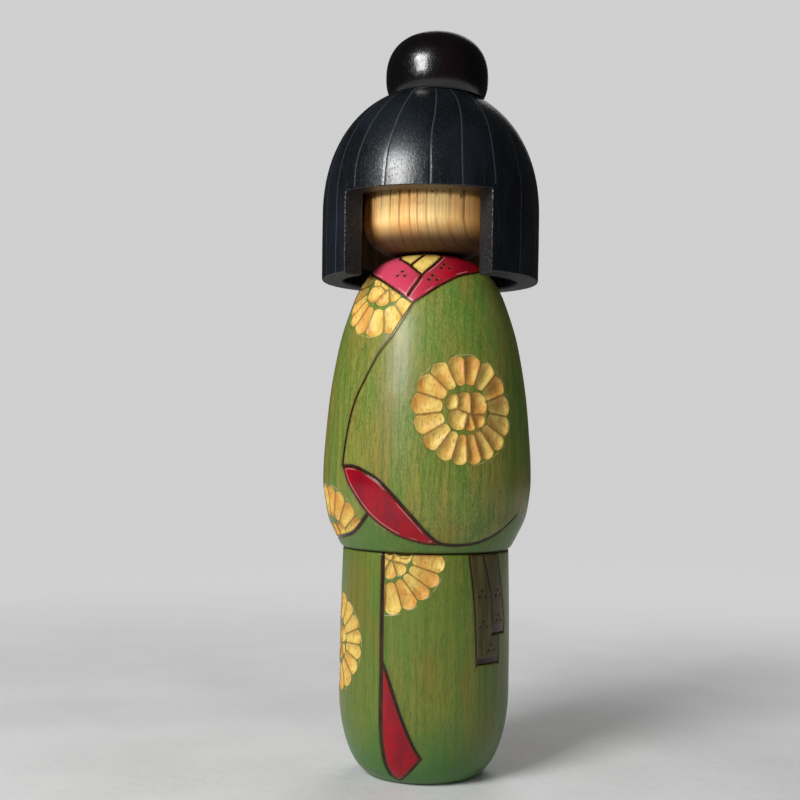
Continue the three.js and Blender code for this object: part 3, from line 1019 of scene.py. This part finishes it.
def hair_lacquer():
    """The hair's lacquer: blue-black, with pale cut lines, rough cut edges and bare wood inside."""
    n = Nodes("hair lacquer")
    base, roughness, relief = lacquer(n, "0b0d10", "13181e", "1a2027", gloss=0.2)
    line = n.attribute("line") - (n.noise(3, 3, seed=6) - 0.5) * 0.12
    dabbed = n.attribute("stipple").rise(0.2, 0.9)
    speck = n.noise(0.5, 1, seed=8)
    x, y, z = n.axis("X"), n.axis("Y"), n.axis("Z")
    # The inside is left bare between the bangs and the dark band at the rim.
    inner = (x * x + y * y).apply("SQRT").rise(HAIR_INNER_RADIUS + 0.25, HAIR_INNER_RADIUS + 0.15)
    bare = inner * z.rise(HAIR_RIM_Z + 6.2, HAIR_RIM_Z + 7) * z.rise(BANGS_Z - 0.5, BANGS_Z - 1.5)
    base = layered(
        base,
        (line.rise(0.24, 0.12) * 0.8, "3d4148"),
        (dabbed, "030304"),
        (dabbed * speck.rise(0.5, 0.64), "24252b"),
        (bare, n.noise(1.4, 12, 3, seed=12).rise(0.3, 0.7).blend("7a5a34", "5c3f22")),
    )
    n.bump(relief + dabbed * speck * 0.25)
    rim = z.rise(HAIR_RIM_Z + 0.6, HAIR_RIM_Z + 0.2)
    roughness = roughness + (dabbed * 0.6 + bare).maximum(rim) * 0.45
    return n.finish(base, roughness, specular_ior_level=0.6, coat_weight=0.04, coat_roughness=0.14)


def bare_wood():
    """The face: pale varnished wood with brown growth rings."""
    n = Nodes("bare wood")
    height = n.axis("Z")
    side = n.axis("X").apply("ABSOLUTE").rise(10, 22)
    ring = rings(n, 3.3, 3, -0.35)
    ring = ring.rise(0.7, 0.92) * ring.rise(1.0, 0.96)
    faint = rings(n, 1.1, 8, -0.35)
    fibre = n.noise(0.35, 30)
    flecks = n.noise(0.3, 9, 1, seed=15)
    # Painted shade: the underside, which turns away from the light, is painted darker.
    under = height.rise(FACE_BOTTOM_Z + 10, FACE_BOTTOM_Z + 2.5)
    base = layered(
        n.noise(12, 3, seed=5).rise(0.35, 0.65).blend("ffe09a", "fac276"),
        # Painted shade: darker and more orange towards the sides, where the barrel turns away.
        (side * 0.75, "f8a85a"),
        (faint.rise(0.4, 1.0) * 0.4, "cf9350"),
        (ring * n.noise(9, 4, seed=33).rise(0.25, 0.6) * 0.75, "94582a"),
        (fibre.rise(0.5, 0.7) * 0.35, "cf9354"),
        (flecks.rise(0.68, 0.73) * 0.5, "8a5226"),
        # Painted shade: more orange where the face begins to turn under towards the chin.
        (height.rise(181, 177) * 0.4, "d08a3e"),
        (ring * height.rise(BANGS_Z - 2.2, BANGS_Z) * 0.5, "3a1c0a"),
        (n.attribute("knot").rise(-0.2, 0.3) * 0.45, "94402c"),
        (n.attribute("strokes").rise(-0.2, 0.2) * 0.85, "2e1608"),
        # Painted shadow of the bangs along the top of the face.
        (height.rise(BANGS_Z - 1, BANGS_Z + 0.6) * 0.6, "5c3416"),
        (under * 0.93, "2e1505"),
    )
    n.bump(fibre * 0.03 - ring * 0.02)
    return n.finish(base, 0.4 + fibre * 0.1 + under * 0.35, specular_ior_level=0.4)


def dowel_wood():
    n = Nodes("dowel wood")
    fibre = n.noise(0.4, 20, 3)
    base = layered(
        fibre.rise(0.3, 0.7).blend("d9b982", "b98f58"),
        (rings(n, 1.6, 21, 0.12).rise(0.6, 1.0) * 0.4, "a3763f"),
    )
    n.bump(fibre * 0.05)
    return n.finish(base, 0.62 + fibre * 0.1)


# ---- Putting the doll together ----


def dress(obj, material, body, node):
    """Gives a piece its material, and ties it to the frame."""
    obj.data.materials.append(material)
    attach(obj, body)
    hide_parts(node)


stained = stained_wood()
dress(make_skirt(), stained, "body", "skirt")
dress(make_torso(), stained, "body", "torso")
dress(make_face(), bare_wood(), "head", "face_barrel")
dress(make_hair(), hair_lacquer(), "head", "hair_shell")
dress(make_topknot(), topknot_lacquer(), "head", "topknot")
dowels = dowel_wood()
for name in ("waist_dowel", "neck_dowel", "crown_dowel"):
    for material_slot in frame["nodes"][name].material_slots:
        material_slot.material = dowels

# ---- Floor, light and camera ----

# In metres.
FLOOR_REACH = 0.9  # from the doll to where the floor hands over to the sweep
SWEEP_BEND = 0.5
SWEEP_HEIGHT = 2.0
AIM = (0, 0, 0.12)  # where the area lights point
AREA_LIGHT_DISTANCE = 0.8
# As (name, azimuth, elevation, width, height, watts, whether it shows in gloss).
AREA_LIGHTS = [
    ("window", -27, 28, 0.25, 0.36, 5.5, True),
    ("pane", -39, 35, 0.1, 0.12, 1, True),
    ("doorway", -19, 5, 0.3, 0.2, 1.2, False),
    ("side", 108, 25, 0.5, 0.5, 0.4, False),
    ("behind", 175, 32, 0.5, 0.5, 2.6, False),
    ("sheen", 180, 35, 0.3, 0.4, 0.25, True),
]
SPOT_DISTANCE = 0.5  # from the face
# Soft spots on the face, as (name, azimuth, elevation, spread in degrees, watts, where it points).
SPOTS = [
    ("face", -13, 1, 17, 2, (0, 0, 0.186)),
    ("face side", -12, 1, 5.5, 4, (-0.02, -0.01, 0.183)),
]


def backdrop():
    """A pale floor, and a pale sweep that curves up all round, which only the camera sees."""
    n = Nodes("pale plaster")
    mottle = n.noise(60, 1, 4)
    n.bump(n.noise(5, 1, 4, seed=3) * 0.5, strength=0.5)
    # Away from the doll the backdrop has its own even light in place of the lamps'.
    x, y = n.axis("X"), n.axis("Y")
    far = (x * x + y * y).apply("SQRT").rise(40, 560)
    base = far.blend(mottle.rise(0.3, 0.7).blend("d8d8d8", "e2e2e2"), "181818")
    n.feed(n.shader.inputs["Emission Strength"], far * 0.62)
    plaster = n.finish(base, 0.8, emission_color=(1, 1, 1, 1))
    floor = [(0, 0), (FLOOR_REACH / 2, 0), (FLOOR_REACH, 0)]
    bend = arc(FLOOR_REACH, SWEEP_BEND, SWEEP_BEND, SWEEP_BEND, -90, 0, 16)
    sweep = [*bend, (FLOOR_REACH + SWEEP_BEND, SWEEP_HEIGHT)]
    for name, outline in (("floor", floor), ("sweep", sweep)):
        points = Turned(np.array(outline) / MM, np.arange(-180, 180, 3.75)).points
        obj = build(name, points.reshape(-1, 3), grid_faces(*points.shape[:2]), {})
        obj.data.materials.append(plaster)
    for rays in ("diffuse", "glossy", "transmission", "shadow"):
        setattr(bpy.data.objects["sweep"], "visible_" + rays, False)


def light(name, kind, azimuth, elevation, distance, power, aim, glossy, **shape):
    """A light aimed at a place on the doll. Azimuth 0 is the front, 90 is +X."""
    data = bpy.data.lights.new(name, kind)
    data.energy = power
    for key, value in shape.items():
        setattr(data, key, value)
    obj = new_object(name, data)
    obj.visible_camera = False
    obj.visible_glossy = glossy
    a, e = math.radians(azimuth), math.radians(elevation)
    direction = Vector((math.sin(a) * math.cos(e), -math.cos(a) * math.cos(e), math.sin(e)))
    obj.location = Vector(aim) + distance * direction
    obj.rotation_euler = (-direction).to_track_quat("-Z", "Y").to_euler()


def lights():
    for name, azimuth, elevation, width, height, power, glossy in AREA_LIGHTS:
        light(name, "AREA", azimuth, elevation, AREA_LIGHT_DISTANCE, power, AIM, glossy,
              shape="RECTANGLE", size=width, size_y=height)
    for name, azimuth, elevation, spread, power, aim in SPOTS:
        light(name, "SPOT", azimuth, elevation, SPOT_DISTANCE, power, aim, glossy=False,
              spot_size=math.radians(spread), spot_blend=1, shadow_soft_size=0.02)


def world(lit):
    """The dim room round the doll."""
    data = bpy.data.worlds.new("room")
    bpy.context.scene.world = data
    data.use_nodes = True
    data.node_tree.nodes["Background"].inputs["Color"].default_value = (lit, lit, lit, 1)


def camera():
    """A camera at the photograph's angle: nearly level, a little to the doll's left."""
    azimuth, yaw, pitch, roll = (math.radians(a) for a in (8.3, 1.245, 1.5, 0.9))
    distance, height = 0.429, 0.1113
    data = bpy.data.cameras.new("camera")
    data.lens = 57.9
    data.sensor_width = 36
    data.clip_start = 0.01
    obj = new_object("camera", data)
    obj.location = (distance * math.sin(azimuth), -distance * math.cos(azimuth), height)
    turn = Matrix.Rotation(azimuth + yaw, 3, "Z") @ Matrix.Rotation(math.pi / 2 + pitch, 3, "X")
    obj.rotation_euler = (turn @ Matrix.Rotation(roll, 3, "Z")).to_euler()
    bpy.context.scene.camera = obj


backdrop()
world(lit=0.022)
lights()
camera()
bpy.context.scene.view_settings.view_transform = "Standard"
